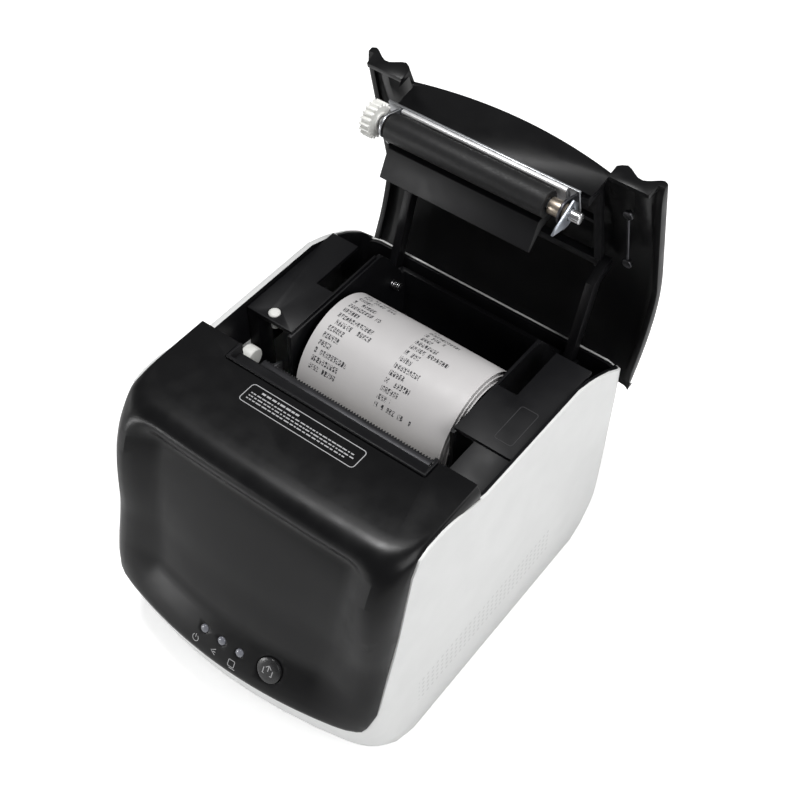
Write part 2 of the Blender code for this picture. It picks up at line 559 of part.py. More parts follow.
def rear_sockets(parent):
    """The panel at the rear with its four sockets and the power switch."""
    panel = finish("port_panel", box_mesh((-52.0, 52.0), (74.6, 76.0), (11.7, 34.0)),
                   ((0.05, 0.05, 0.05), 0.5), parent)
    sockets = (("power_inlet", -34.0, 12.0, 11.0, (0.05, 0.05, 0.05), 0.0),
               ("usb_socket", -15.0, 12.0, 11.0, (0.6, 0.6, 0.62), 0.9),
               ("network_socket", 5.0, 16.0, 13.5, (0.6, 0.6, 0.62), 0.9),
               ("drawer_socket", 26.0, 14.0, 12.0, (0.06, 0.06, 0.06), 0.0))
    for name, x, width, height, colour, metallic in sockets:
        middle = SOCKET_LOW + height / 2
        half_x, half_z = width / 2, height / 2
        boolean(panel, box_mesh(around(x, half_x + GAP), (70.0, 80.0), around(middle, half_z + GAP)))
        socket = finish(name, box_mesh(around(x, half_x), (59.0, 76.4), around(middle, half_z)),
                        (colour, 0.4, metallic), parent)
        boolean(socket, box_mesh(around(x, half_x - SOCKET_WALL), (63.0, 90.0),
                                 around(middle, half_z - SOCKET_WALL)))
    x, y, z = SWITCH
    boolean(panel, box_mesh(around(x, 4.9), (70.0, 80.0), around(z, 7.3)))
    housing = finish("switch_housing", box_mesh(around(x, 4.6), (62.0, 75.6), around(z, 7.0)),
                     ((0.03, 0.03, 0.03), 0.5), parent)
    boolean(housing, box_mesh(around(x, 3.7), (66.0, 90.0), around(z, 6.2)))
    rocker = [(2.6, -5.0), (3.3, 0.0), (2.6, 5.0), (-0.8, 4.8), (-2.4, 0.0), (-0.8, -4.8)]
    turned = [(y + a * math.cos(SWITCH_REST) - b * math.sin(SWITCH_REST),
               z + a * math.sin(SWITCH_REST) + b * math.cos(SWITCH_REST)) for a, b in rocker]
    finish("power_switch", prism_mesh(turned, around(x, 3.3)), ((0.04, 0.04, 0.04), 0.4), parent, SWITCH)


# ---- hinge ----
def hinge_side(side, parent):
    """A clevis on a post, and the steel pin that the lid's arm turns on."""
    inner, outer = ARM_SPANS[side]
    axis = (HINGE_Y, HINGE_Z)
    cheek = [(71.5, 78.0), (82.6, 78.0)] + arc(axis, 4.6, -20, 200, 10) + [(71.5, 86.0)]
    bracket = finish(f"hinge_bracket_{side}", prism_mesh(cheek, (inner - 2.1, inner - 0.5)),
                     ((0.03, 0.03, 0.03), 0.5), parent)
    boolean(bracket, prism_mesh(cheek, (outer + 0.5, outer + 2.1)), "UNION")
    boolean(bracket, box_mesh((inner - 2.1, outer + 2.1), (71.5, 80.5), (78.0, 79.6)), "UNION")
    boolean(bracket, turned_mesh([(inner - 9, 2.3), (outer + 9, 2.3)], axis, "x", 16))
    pin = [(inner - 2.0, 1.7), (inner - 1.7, 2.0), (outer + 1.7, 2.0), (outer + 2.0, 1.7)]
    finish(f"hinge_pin_{side}", turned_mesh(pin, axis, "x", 20), ((0.65, 0.65, 0.67), 0.25, 1.0), parent,
           smooth=40)


# ---- lid, drawn closed; its empty on the hinge axis turns it open ----
def lid_top(x, y):
    """Height of the lid's outer face: crowned, falling to the rear, with grips in front."""
    drop = (LID_TOP - 105.8) * (max(y - 30.0, 0.0) / (LID_REAR - 30.0)) ** 2.2
    side = abs(x - CENTRE_X)
    rear = 3.5 * (side / BODY_HALF_WIDTH) ** 2
    if side <= 50.6:
        front = 1.0 + 6.0 * (side / 50.6) ** 2
    elif side <= 54.5:
        front = 7.0 - 2.6 * smooth_step(side, 50.6, 54.5)
    else:
        front = 4.4 + 3.6 * smooth_step(side, 54.5, 63.0) - 4.4 * smooth_step(side, 63.0, 72.4)
    blend = smooth_step(y, LID_FRONT, 24.0)
    return LID_TOP - drop - front * (1 - blend) - rear * blend


def skirt_height(y):
    for (y0, z0), (y1, z1) in zip(SKIRT_EDGE, SKIRT_EDGE[1:]):
        if y <= y1:
            return z0 + (z1 - z0) * (y - y0) / (y1 - y0)
    return SKIRT_EDGE[-1][1]


def lid_underside(x, y):
    """Bottom of the lid's solid form: the skirt's edge outside, the front walls' edges inside."""
    side = abs(x - CENTRE_X)
    if side > 70.0:
        return skirt_height(y)
    if y <= LID_FRONT:
        return 119.4 if side > 50.2 else 112.2
    return skirt_height(y) - (5.0 if y < 45.0 else 0.0)


def lid_block(half, wall, rear, bottom, fractions, depth_steps):
    """The lid as a solid: a grid of the outer face, lowered by wall, down to bottom(x, y)."""
    xs = sorted({round(side * f * half, 4) for f in fractions for side in (-1, 1)})
    rows_top, rows_low = [], []
    for x in xs:
        front = (EAR_FRONT if abs(x) > 0.69 * half else LID_FRONT) + wall
        top, low = [], []
        for k in range(depth_steps + 1):
            y = front + (rear - front) * k / depth_steps
            edge = 1.4 * smooth_step(abs(x), half - 2.5, half + 1.0)
            place = CENTRE_X + x
            top.append((place, y, lid_top(place, y) - wall - edge))
            low.append((place, y, bottom(place, y)))
        rows_top.append(top)
        rows_low.append(low)
    bm = bmesh.new()
    top = [[bm.verts.new(p) for p in row] for row in rows_top]
    low = [[bm.verts.new(p) for p in row] for row in rows_low]
    for grid, flip in ((top, False), (low, True)):
        for a, b in zip(grid, grid[1:]):
            for k in range(depth_steps):
                face = [a[k], b[k], b[k + 1], a[k + 1]]
                bm.faces.new(face[::-1] if flip else face)
    for k in range(depth_steps):
        bm.faces.new((low[0][k], top[0][k], top[0][k + 1], low[0][k + 1]))
        bm.faces.new((low[-1][k + 1], top[-1][k + 1], top[-1][k], low[-1][k]))
    for i in range(len(xs) - 1):
        bm.faces.new((low[i + 1][0], top[i + 1][0], top[i][0], low[i][0]))
        bm.faces.new((low[i][-1], top[i][-1], top[i + 1][-1], low[i + 1][-1]))
    return bm


def lid_cover(parent):
    coarse = (0, 0.2, 0.4, 0.55, 0.68, 0.698, 0.75, 0.81, 0.87, 0.93, 0.95, 0.962, 1)
    fine = (0.07, 0.14, 0.27, 0.34, 0.48, 0.62, 0.72, 0.78, 0.84, 0.9, 0.975, 0.988)
    outer = lid_block(COVER_HALF_WIDTH + 0.2, 0.0, LID_REAR, lid_underside, coarse + fine, 24)
    inner = lid_block(COVER_HALF_WIDTH - LID_WALL, LID_WALL, 87.6, lambda x, y: 80.0, coarse, 12)
    lid = finish("lid_cover", outer, ((0.022, 0.022, 0.024), 0.38), parent, HINGE_PIVOT, smooth=35)
    return boolean(lid, inner)


def lid_frame(parent):
    """Inner ladder frame of the lid with the two arms that reach down to the hinge pins."""
    left, right = ARM_SPANS["left"], ARM_SPANS["right"]
    frame = finish("lid_frame", box_mesh((-45.0, 44.0), (-17.6, -13.0), (112.4, 123.4)),
                   ((0.02, 0.02, 0.022), 0.45), parent, HINGE_PIVOT)
    for x in (-45.0, 40.4):
        boolean(frame, box_mesh((x, x + 3.4), (-15.0, 40.0), (121.3, 124.4)), "UNION")
    boolean(frame, box_mesh((left[0], right[1]), (34.0, 38.5), (121.2, 125.0)), "UNION")
    boolean(frame, box_mesh((-44.0, 41.0), (8.0, 10.0), (121.35, 124.2)), "UNION")
    direction = math.radians(150)
    along = Vector((math.cos(direction), math.sin(direction)))
    across = Vector((-along.y, along.x))
    boss = Vector((HINGE_Y, HINGE_Z))
    knee = boss + along * 44
    low, high = knee + across * 3, knee - across * 3
    arm = ([tuple(boss - across * 3), tuple(high), (40.0, 125.0), (34.0, 125.0), (34.0, 121.2), tuple(low),
            tuple(boss + across * 3)])
    for span in (left, right):
        boolean(frame, prism_mesh(arm, span), "UNION")
        boolean(frame, turned_mesh([(span[0], 5.0), (span[1], 5.0)], (HINGE_Y, HINGE_Z), "x", 24), "UNION")
        boolean(frame, turned_mesh([(span[0] - 1, 2.35), (span[1] + 1, 2.35)], (HINGE_Y, HINGE_Z), "x", 20))
    return frame


def platen_holder(parent):
    """Metal plate, fixed knife, side plates with bushes, and the paper guide."""
    steel = ((0.6, 0.6, 0.62), 0.3, 1.0)
    finish("blade_plate", box_mesh((-55.0, 41.0), (-21.8, -9.0), (110.7, 111.8)), steel, parent,
           HINGE_PIVOT)
    knife = [(-22.2, 108.9), (-21.6, 108.2), (-8.0, 108.2), (-8.0, 110.3), (-22.2, 110.3)]
    finish("fixed_knife", prism_mesh(knife, (-46.5, 36.0)), ((0.8, 0.8, 0.82), 0.2, 1.0), parent,
           HINGE_PIVOT)
    plate = ([(-21.4, 110.3), (-25.6, 102.0)] + arc((PLATEN_Y, PLATEN_Z), 5.6, 190, 320, 6)
             + [(-10.0, 99.0), (-10.0, 110.3)])
    for name, span in (("platen_plate_left", (-48.9, -47.7)), ("platen_plate_right", (39.6, 40.8))):
        holder = finish(name, prism_mesh(plate, span), steel, parent, HINGE_PIVOT)
        boolean(holder, turned_mesh([(-80, 3.9), (80, 3.9)], (PLATEN_Y, PLATEN_Z), "x", 20))
    for name, span in (("platen_bush_left", (-49.5, -47.3)), ("platen_bush_right", (33.8, 41.6))):
        bush = finish(name, turned_mesh([(span[0], 3.6), (span[1], 3.6)], (PLATEN_Y, PLATEN_Z), "x", 20),
                      ((0.75, 0.6, 0.4), 0.3, 1.0), parent, HINGE_PIVOT, smooth=40)
        boolean(bush, turned_mesh([(-80, 2.8), (80, 2.8)], (PLATEN_Y, PLATEN_Z), "x", 20))
    guide = [(-10.9, 107.8), (-5.7, 107.8), (-5.4, 98.0), (0.3, 88.9), (-1.0, 87.9), (-11.5, 96.3)]
    finish("paper_guide", prism_mesh(guide, (-46.1, 30.5)), ((0.025, 0.025, 0.027), 0.4), parent,
           HINGE_PIVOT)


def latch_hook(parent):
    """Pointed steel hook that hangs on the platen shaft's line and snaps under the chassis."""
    outline = [(-25.5, 103.9), (-22.0, 90.6), (-20.3, 87.8), (-15.5, 97.9), (-16.1, 105.5), (-21.5, 106.4)]
    hook = finish("latch_hook", prism_mesh(outline, (42.2, 43.3)), ((0.6, 0.6, 0.62), 0.3, 1.0), parent,
                  (42.7, PLATEN_Y, PLATEN_Z))
    return boolean(hook, turned_mesh([(30, 2.9), (60, 2.9)], (PLATEN_Y, PLATEN_Z), "x", 20))


def platen(parent):
    centre = (PLATEN_Y, PLATEN_Z)
    pivot = (0.0, *centre)
    rubber = [(-46.5, 5.8), (-46.1, PLATEN_RADIUS), (32.6, PLATEN_RADIUS), (33.0, 5.8)]
    roller = finish("platen_roller", turned_mesh(rubber, centre, "x", 32), ((0.03, 0.03, 0.03), 0.7),
                    parent, pivot, smooth=50)
    boolean(roller, turned_mesh([(-60, 2.8), (60, 2.8)], centre, "x", 20))
    shaft = [(-58.6, 2.2), (-58.3, SHAFT_RADIUS), (47.7, SHAFT_RADIUS), (48.0, 2.2)]
    finish("platen_shaft", turned_mesh(shaft, centre, "x", 20), ((0.7, 0.68, 0.62), 0.3, 1.0), parent,
           pivot, smooth=40)
    gear = finish("platen_gear", gear_mesh(PLATEN_TEETH, centre), ((0.88, 0.88, 0.86), 0.4),
                  parent, pivot)
    boolean(gear, turned_mesh([(-52.8, 4.2), (-51.5, 4.2)], centre, "x", 20), "UNION")
    boolean(gear, turned_mesh([(-70, 2.8), (-40, 2.8)], centre, "x", 20))


def lid_latch_rod(parent):
    """Thin spring rod in the lid's right side, between two bosses."""
    rod = turned_mesh([(-3.0, 0.7), (24.0, 0.7)], (57.0, 121.9), "y", 10)
    finish("latch_rod", rod, ((0.65, 0.65, 0.67), 0.25, 1.0), parent, HINGE_PIVOT, smooth=40)
    for name, y in (("rod_screw_front", -6.0), ("rod_screw_rear", 27.0)):
        screw = turned_mesh([(120.9, 2.3), (122.2, 2.3), (122.6, 1.2), (123.6, 1.2)], (57.0, y), "z", 16)
        finish(name, screw, ((0.65, 0.65, 0.67), 0.3, 1.0), parent, HINGE_PIVOT, smooth=40)


# ---- paper ----
def paper_roll(parent):
    """A loosely rolled printed slip: an oval coil of one sheet that stands in the bucket."""
    turns, per_turn, pitch, thickness = 2.7, 24, 1.5, 0.4
    steps = int(turns * per_turn)
    outer, inner = [], []
    for k in range(steps + 1):
        a = math.radians(230) - 2 * math.pi * k / per_turn
        s = pitch * k / per_turn
        for points, extra in ((outer, s), (inner, s + thickness)):
            tall = 30.0 if math.sin(a) > 0 else 48.5
            points.append((21.2 + (29.6 - extra) * math.cos(a), 92.0 + (tall - extra) * math.sin(a)))
    bm = prism_mesh(outer + inner[::-1], (MECH_X - PAPER_WIDTH / 2, MECH_X + PAPER_WIDTH / 2))
    finish("paper_slip", bm, ((0.86, 0.85, 0.84), 0.6), parent, smooth=30)


# ---- assembly ----
def joint_empty(name, location, parent):
    empty = bpy.data.objects.new(name, None)
    empty.location = Vector(location) * MM
    empty.parent = parent
    bpy.context.scene.collection.objects.link(empty)
    return empty


def main():
    for obj in list(bpy.data.objects):
        bpy.data.objects.remove(obj, do_unlink=True)
    printer = joint_empty("printer_frame", (-CENTRE_X, ORIGIN_SHIFT_Y, 0.0), None)
    outer_shell(printer)
    base_plate(printer)
    feet(printer)
    front_cover(printer)
    led_lenses(printer)
    feed_button(printer)
    panel_board(printer)
    tear_bar(printer)
    inner_frame(printer)
    lid_sensor(printer)
    chassis(printer)
    print_head(printer)
    head_pin(printer)
    head_springs(printer)
    cutter(printer)
    feed_gears(printer)
    main_board(printer)
    rear_sockets(printer)
    hinge_side("left", printer)
    hinge_side("right", printer)
    paper_roll(printer)
    # the lid's pieces keep their closed coordinates under an empty that opens them
    hinge = joint_empty("lid_hinge_axis", HINGE_PIVOT, printer)
    hinge.rotation_euler = (-OPEN_ANGLE, 0.0, 0.0)
    lid = joint_empty("lid_closed_frame", tuple(-c for c in HINGE_PIVOT), hinge)
    lid_cover(lid)
    lid_frame(lid)
    platen_holder(lid)
    latch_hook(lid)
    lid_latch_rod(lid)
    platen(lid)


main()
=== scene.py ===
"""Looks of the open receipt printer: moulded plastics, plated steel, rubber and printed paper
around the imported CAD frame. Lengths are in metres; MM turns millimetres into them."""
import json
import math
import random

import bmesh
import bpy
from mathutils import Matrix, Vector
from mathutils.bvhtree import BVHTree


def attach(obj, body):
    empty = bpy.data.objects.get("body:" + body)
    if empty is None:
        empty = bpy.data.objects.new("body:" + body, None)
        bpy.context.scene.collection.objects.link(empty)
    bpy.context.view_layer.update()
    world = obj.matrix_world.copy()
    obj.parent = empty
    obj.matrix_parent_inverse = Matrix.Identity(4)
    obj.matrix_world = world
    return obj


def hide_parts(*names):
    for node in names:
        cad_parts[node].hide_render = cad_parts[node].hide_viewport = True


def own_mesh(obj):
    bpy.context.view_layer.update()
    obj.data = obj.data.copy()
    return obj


MM = 0.001
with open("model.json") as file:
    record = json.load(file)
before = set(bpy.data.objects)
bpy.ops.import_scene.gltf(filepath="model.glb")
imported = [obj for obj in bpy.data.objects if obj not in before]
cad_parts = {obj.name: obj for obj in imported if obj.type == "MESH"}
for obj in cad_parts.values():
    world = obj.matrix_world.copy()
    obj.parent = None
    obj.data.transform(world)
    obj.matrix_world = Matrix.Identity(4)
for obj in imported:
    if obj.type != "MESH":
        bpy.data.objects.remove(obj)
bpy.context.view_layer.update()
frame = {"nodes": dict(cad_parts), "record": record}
RECORD = frame["record"]
NODES = frame["nodes"]
NODE_BODY = {node: body for body, nodes in RECORD["behaviour"]["bodies"].items() for node in nodes}
NODE_SLOT = {part["node"]: part["material_slot"] for part in RECORD["subparts"]}
JOINT_AT = {joint["name"]: joint.get("pos_m") for joint in RECORD["behaviour"]["joints"]}
BODY_X = 2.5 * MM                 # the body's own zero in the frame, along X and Y
BODY_Y = Vector(JOINT_AT["lid_hinge"]).y - 77.5 * MM


def at(x, y, z):
    """The point of the frame, in metres, that is given in the body's own millimetres."""
    return Vector((BODY_X + x * MM, BODY_Y + y * MM, z * MM))


# ---- procedural materials ----
class Look:
    """A material with one Principled shader and small helpers to wire textures into it."""

    def __init__(self, name, **sockets):
        self.mat = bpy.data.materials.new(name)
        self.mat.use_nodes = True
        self.tree = self.mat.node_tree
        self.shader = self.tree.nodes["Principled BSDF"]
        for socket, value in sockets.items():
            self.shader.inputs[socket.replace("_", " ")].default_value = value
        self.place = self.node("ShaderNodeTexCoord").outputs["Object"]

    def node(self, kind, **settings):
        made = self.tree.nodes.new(kind)
        for key, value in settings.items():
            setattr(made, key, value)
        return made

    def link(self, source, target):
        self.tree.links.new(source, target)

    def scaled(self, scale):
        mapping = self.node("ShaderNodeMapping")
        mapping.inputs["Scale"].default_value = scale
        self.link(self.place, mapping.inputs["Vector"])
        return mapping.outputs["Vector"]

    def noise(self, size, detail=3.0, stretch=(1, 1, 1)):
        """Noise whose features are about size metres across, or longer where stretch is small."""
        texture = self.node("ShaderNodeTexNoise")
        texture.inputs["Scale"].default_value = 1.0 / size
        texture.inputs["Detail"].default_value = detail
        self.link(self.scaled(stretch), texture.inputs["Vector"])
        return texture.outputs["Fac"]

    def ramp(self, source, low, high, start=0.3, end=0.7):
        """Maps start..end of a grey value onto low..high, which are two grey values or two colours."""
        if isinstance(low, float):
            ramp = self.node("ShaderNodeMapRange")
            for key, value in (("From Min", start), ("From Max", end), ("To Min", low), ("To Max", high)):
                ramp.inputs[key].default_value = value
            self.link(source, ramp.inputs["Value"])
            return ramp.outputs["Result"]
        mix = self.node("ShaderNodeMix", data_type="RGBA")
        mix.inputs["A"].default_value = (*low, 1.0)
        mix.inputs["B"].default_value = (*high, 1.0)
        self.link(self.ramp(source, 0.0, 1.0, start, end), mix.inputs["Factor"])
        return mix.outputs["Result"]

    def mixed(self, factor, source, colour):
        """The source colour, turned into the given one where factor is 1."""
        mix = self.node("ShaderNodeMix", data_type="RGBA")
        self.link(factor, mix.inputs["Factor"])
        self.link(source, mix.inputs["A"])
        mix.inputs["B"].default_value = (*colour, 1.0)
        return mix.outputs["Result"]

    def fill(self, sockets, values):
        """Sets each socket to its number, or links it to its source."""
        for socket, value in zip(sockets, values):
            if isinstance(value, float):
                socket.default_value = value
            else:
                self.link(value, socket)

    def math(self, operation, *values):
        made = self.node("ShaderNodeMath", operation=operation)
        self.fill(made.inputs, values)
        return made.outputs[0]

    def product(self, first, *others):
        for other in others:
            first = self.math("MULTIPLY", first, other)
        return first

    def between(self, value, low, high):
        """1 where the value lies between the two limits, and 0 elsewhere."""
        return self.product(self.math("GREATER_THAN", value, low), self.math("LESS_THAN", value, high))

    def axes(self, vector):
        """The X, Y and Z outputs of a vector."""
        split = self.node("ShaderNodeSeparateXYZ")
        self.link(vector, split.inputs[0])
        return split.outputs["X"], split.outputs["Y"], split.outputs["Z"]

    def colour(self, source):
        self.link(source, self.shader.inputs["Base Color"])

    def roughness(self, source):
        self.link(source, self.shader.inputs["Roughness"])

    def bump(self, source, depth):
        bump = self.node("ShaderNodeBump")
        bump.inputs["Strength"].default_value = 1.0
        bump.inputs["Distance"].default_value = depth
        self.link(source, bump.inputs["Height"])
        self.link(bump.outputs["Normal"], self.shader.inputs["Normal"])


def moulded(name, colour, rough, grain=0.5, depth=0.02, spread=0.12, coat=0.0, shine=0.5):
    """Moulded plastic: fine spark-eroded grain, slight mottling and uneven gloss."""
    look = Look(name, IOR=1.5, Coat_Weight=coat, Specular_IOR_Level=shine)
    low, high = ([c * (1 + side * spread) for c in colour] for side in (-1, 1))
    look.colour(look.ramp(look.noise(14 * MM, 4.0), low, high))
    look.roughness(look.ramp(look.noise(9 * MM, 5.0), rough - 0.05, rough + 0.06))
    look.bump(look.noise(grain * MM, 2.0), depth * MM)
    return look.mat


ALONG_X = (0.04, 1.0, 1.0)        # stretches noise into the fine lines of drawn or ground metal


def metal(name, colour, rough, stretch=(1, 1, 1), scratch=0.12):
    """Metal with a fine grain or fine lines, and patches of duller finish."""
    look = Look(name, Metallic=1.0)
    look.colour(look.ramp(look.noise(8 * MM, 4.0), [c * 0.82 for c in colour], list(colour)))
    look.roughness(look.ramp(look.noise(0.4 * MM, 3.0, stretch), rough - scratch / 2, rough + scratch))
    look.bump(look.noise(0.3 * MM, 2.0, stretch), 0.004 * MM)
    return look.mat


def rubber(name, colour, rough):
    """Rubber with a dull, slightly uneven surface."""
    look = Look(name, IOR=1.5, Specular_IOR_Level=0.3)
    low, high = ([c * share for c in colour] for share in (0.8, 1.25))
    look.colour(look.ramp(look.noise(3 * MM, 5.0), low, high))
    look.roughness(look.ramp(look.noise(1.2 * MM, 4.0), rough - 0.06, rough + 0.08))
    look.bump(look.noise(0.22 * MM, 3.0), 0.02 * MM)
    return look.mat


LOOKS = {
    "white_plastic": moulded("white_plastic_skin", (0.78, 0.785, 0.78), 0.34, 0.45, 0.006, 0.015),
    "pale_plastic": moulded("pale_plastic_skin", (0.66, 0.66, 0.65), 0.5, 0.6, 0.012, 0.03),
    "black_cover_plastic": moulded("black_cover_skin", (0.0045, 0.0045, 0.005), 0.33, 0.42, 0.004, 0.05,
                                   shine=0.24),
    "black_inner_plastic": moulded("black_inner_skin", (0.0045, 0.0045, 0.0055), 0.45, 0.55, 0.006, 0.05,
                                   shine=0.3),
    "button_plastic": moulded("button_skin", (0.018, 0.018, 0.019), 0.28, 0.3, 0.003),
    "grey_lens": moulded("lens_skin", (0.16, 0.165, 0.19), 0.22, 0.8, 0.01, 0.08, coat=0.4),
    "foot_rubber": rubber("foot_rubber_skin", (0.02, 0.02, 0.02), 0.75),
    "roller_rubber": rubber("roller_rubber_skin", (0.011, 0.011, 0.0115), 0.5),
    "green_board": moulded("board_skin", (0.015, 0.10, 0.045), 0.35, 1.5, 0.03, 0.2, coat=0.3),
    "dark_steel": metal("dark_steel_skin", (0.07, 0.07, 0.075), 0.38, ALONG_X),
    "sheet_steel": metal("sheet_steel_skin", (0.50, 0.51, 0.53), 0.34, ALONG_X),
    "bright_steel": metal("bright_steel_skin", (0.72, 0.72, 0.73), 0.22, ALONG_X, 0.08),
    "aluminium": metal("aluminium_skin", (0.66, 0.67, 0.69), 0.36, ALONG_X),
    "head_glaze": moulded("head_glaze_skin", (0.62, 0.58, 0.48), 0.18, 1.0, 0.003, 0.05, coat=0.5),
    "bush_bronze": metal("bush_bronze_skin", (0.46, 0.40, 0.33), 0.36),
    "white_nylon": moulded("white_nylon_skin", (0.80, 0.80, 0.77), 0.38, 0.5, 0.01, 0.03),
    "thermal_paper": moulded("paper_plain_skin", (0.80, 0.79, 0.78), 0.55, 0.2, 0.004, 0.02),
}


# ---- pieces ----
EDGE_ANGLE = math.radians(32)     # a sharper edge than this is rounded off
SHADE_ANGLE = 40                  # degrees; a sharper edge than this is shaded as an edge


def show(obj, body, slot, look=None):
    """Give a finished object its material and body; the material is the finish slot's look unless a look is
    given.
    """
    bpy.context.scene.collection.objects.link(obj)
    obj.data.materials.clear()
    obj.data.materials.append(look or LOOKS[slot])
    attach(obj, body)
    return obj


def softened(node, width, flat=0.6, look=None):
    """The CAD node's own shape with its sharp edges rounded off, shown in the node's place. Faces that
    differ by less than flat degrees are joined first."""
    mesh = NODES[node].data.copy()
    bm = bmesh.new()
    bm.from_mesh(mesh)
    bmesh.ops.remove_doubles(bm, verts=bm.verts, dist=1e-6)
    bmesh.ops.dissolve_limit(bm, angle_limit=math.radians(flat), verts=bm.verts, edges=bm.edges)
    sharp = [e for e in bm.edges if len(e.link_faces) == 2 and e.calc_face_angle() > EDGE_ANGLE]
    bmesh.ops.bevel(bm, geom=sharp, offset=width * MM, offset_type="OFFSET", segments=2,
                    profile=0.5, affect="EDGES", clamp_overlap=True)
    bm.to_mesh(mesh)
    bm.free()
    mesh.shade_smooth()
    mesh.set_sharp_from_angle(angle=math.radians(SHADE_ANGLE))
    obj = bpy.data.objects.new(node + "_shown", mesh)
    show(obj, NODE_BODY[node], NODE_SLOT[node], look)
    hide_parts(node)
    return obj


# ---- shapes ----
def mesh_object(name, bm, smooth=SHADE_ANGLE):
    bmesh.ops.recalc_face_normals(bm, faces=bm.faces)
    mesh = bpy.data.meshes.new(name)
    bm.to_mesh(mesh)
    bm.free()
    mesh.shade_smooth()
    mesh.set_sharp_from_angle(angle=math.radians(smooth))
    return bpy.data.objects.new(name, mesh)


def tube_rings(bm, rings, closed=False):
    """Skin rings of equal length into one body with capped ends, or into a loop that meets itself."""
    rows = [[bm.verts.new(p) for p in ring] for ring in rings]
    pairs = list(zip(rows, rows[1:]))
    if closed:
        pairs.append((rows[-1], rows[0]))
    else:
        bm.faces.new(rows[0][::-1])
        bm.faces.new(rows[-1])
    for low, high in pairs:
        for i in range(len(low)):
            j = (i + 1) % len(low)
            bm.faces.new((low[i], low[j], high[j], high[i]))


def turned(bm, profile, centre, sides=40):
    """A body of revolution about a line along X through centre; profile holds (x, radius)."""
    angles = [2 * math.pi * k / sides for k in range(sides)]
    tube_rings(bm, [[at(x, centre[0] + radius * math.cos(a), centre[1] + radius * math.sin(a))
                     for a in angles] for x, radius in profile])


def wire(bm, points, radius, sides=6):
    """A round wire through points in body millimetres."""
    points = [Vector(p) for p in points]
    rings = []
    side = Vector((0.31, 0.52, 0.79))
    for i, p in enumerate(points):
        ahead = (points[min(i + 1, len(points) - 1)] - points[max(i - 1, 0)]).normalized()
        side = (side - ahead * side.dot(ahead)).normalized()
        other = ahead.cross(side)
        rings.append([at(*(p + (side * math.cos(a) + other * math.sin(a)) * radius))
                      for a in (2 * math.pi * k / sides for k in range(sides))])
    tube_rings(bm, rings)


def rounded_block(bm, x, y, z, edge):
    """A block with bevelled edges; x, y and z hold its two ends along each axis."""
    made = bmesh.ops.create_cube(bm, size=1.0)["verts"]
    for vert in made:
        vert.co = at(*(span[0] if c < 0 else span[1] for c, span in zip(vert.co, (x, y, z))))
    edges = list({e for v in made for e in v.link_edges})
    bmesh.ops.bevel(bm, geom=edges, offset=edge * MM, segments=2, profile=0.5, affect="EDGES")


def rectangle_loop(a, b, radius, steps=5):
    """The outline of a rectangle with rounded corners, between two limits along each axis."""
    corners = ((a[1] - radius, b[1] - radius, 0), (a[0] + radius, b[1] - radius, 90),
               (a[0] + radius, b[0] + radius, 180), (a[1] - radius, b[0] + radius, 270))
    return [(u + radius * math.cos(math.radians(start + 90 * k / steps)),
             v + radius * math.sin(math.radians(start + 90 * k / steps)))
            for u, v, start in corners for k in range(steps + 1)]


PRINT_LIFT = 0.05                 # how far a print stands above its surface
PRINT_SINK = -0.04                # how far it reaches into it


def band(bm, place, points, width, closed):
    """A printed line of even width and hair thickness; place(u, v, lift) gives a point on the surface."""
    rings = []
    count = len(points)
    for i, (u, v) in enumerate(points):
        before = points[i - 1] if closed or i else points[i]
        after = points[(i + 1) % count] if closed or i + 1 < count else points[i]
        du, dv = after[0] - before[0], after[1] - before[1]
        size = math.hypot(du, dv)
        nu, nv = -dv / size * width / 2, du / size * width / 2
        rings.append([place(u + nu, v + nv, PRINT_SINK), place(u - nu, v - nv, PRINT_SINK),
                      place(u - nu, v - nv, PRINT_LIFT), place(u + nu, v + nv, PRINT_LIFT)])
    tube_rings(bm, rings, closed)


def printed(name, body, bands, place, look):
    """One print made of bands, each given as (points, width, closed)."""
    bm = bmesh.new()
    for points, width, closed in bands:
        band(bm, place, points, width, closed)
    return show(mesh_object(name, bm, 20), body, "white_plastic", look)


LEDGE_TILT = math.radians(30)     # the front ledge leans back by this much
LEDGE_FOOT = (-112.0, 38.5)       # its lower edge at the middle, along Y and Z
LEDGE_BOW = 5.5 / 50.0 ** 2       # its bow: 5.5 mm at 50 mm from the middle
LEDGE_OUT = 4.0                   # the rays that find its surface start this far in front of it
CENTRE_X = -2.5                   # the printer's middle
INK = moulded("grey_print_skin", (0.42, 0.42, 0.43), 0.55, 0.2, 0.002, 0.06)
DIM_INK = moulded("dim_print_skin", (0.03, 0.03, 0.032), 0.5, 0.2, 0.002, 0.06)
# the surfaces that carry a print on the ledge
CAD_TREES = {name: BVHTree.FromPolygons([v.co for v in node.data.vertices],
                                        [p.vertices for p in node.data.polygons])
             for name, node in NODES.items() if name in ("front_cover", "feed_button")}


def flat_place(z):
    """Puts points, given along X and Y, onto a level surface."""
    return lambda u, v, lift: at(u, v, z + lift)


def ledge_place(node):
    """Settles points, given along X and up the ledge, onto a node's own surface."""
    normal = Vector((0.0, -math.cos(LEDGE_TILT), math.sin(LEDGE_TILT)))

    def place(u, v, lift):
        bow = LEDGE_BOW * (u - CENTRE_X) ** 2
        start = at(u, LEDGE_FOOT[0] + bow + v * math.sin(LEDGE_TILT),
                   LEDGE_FOOT[1] + v * math.cos(LEDGE_TILT))
        found = CAD_TREES[node].ray_cast(start + normal * LEDGE_OUT * MM, -normal)[0]
        return (found or start) + normal * lift * MM
    return place


def arc(u, v, radius, start, end, steps):
    angles = [math.radians(start + (end - start) * k / steps) for k in range(steps + 1)]
    return [(u + radius * math.cos(a), v + radius * math.sin(a)) for a in angles]


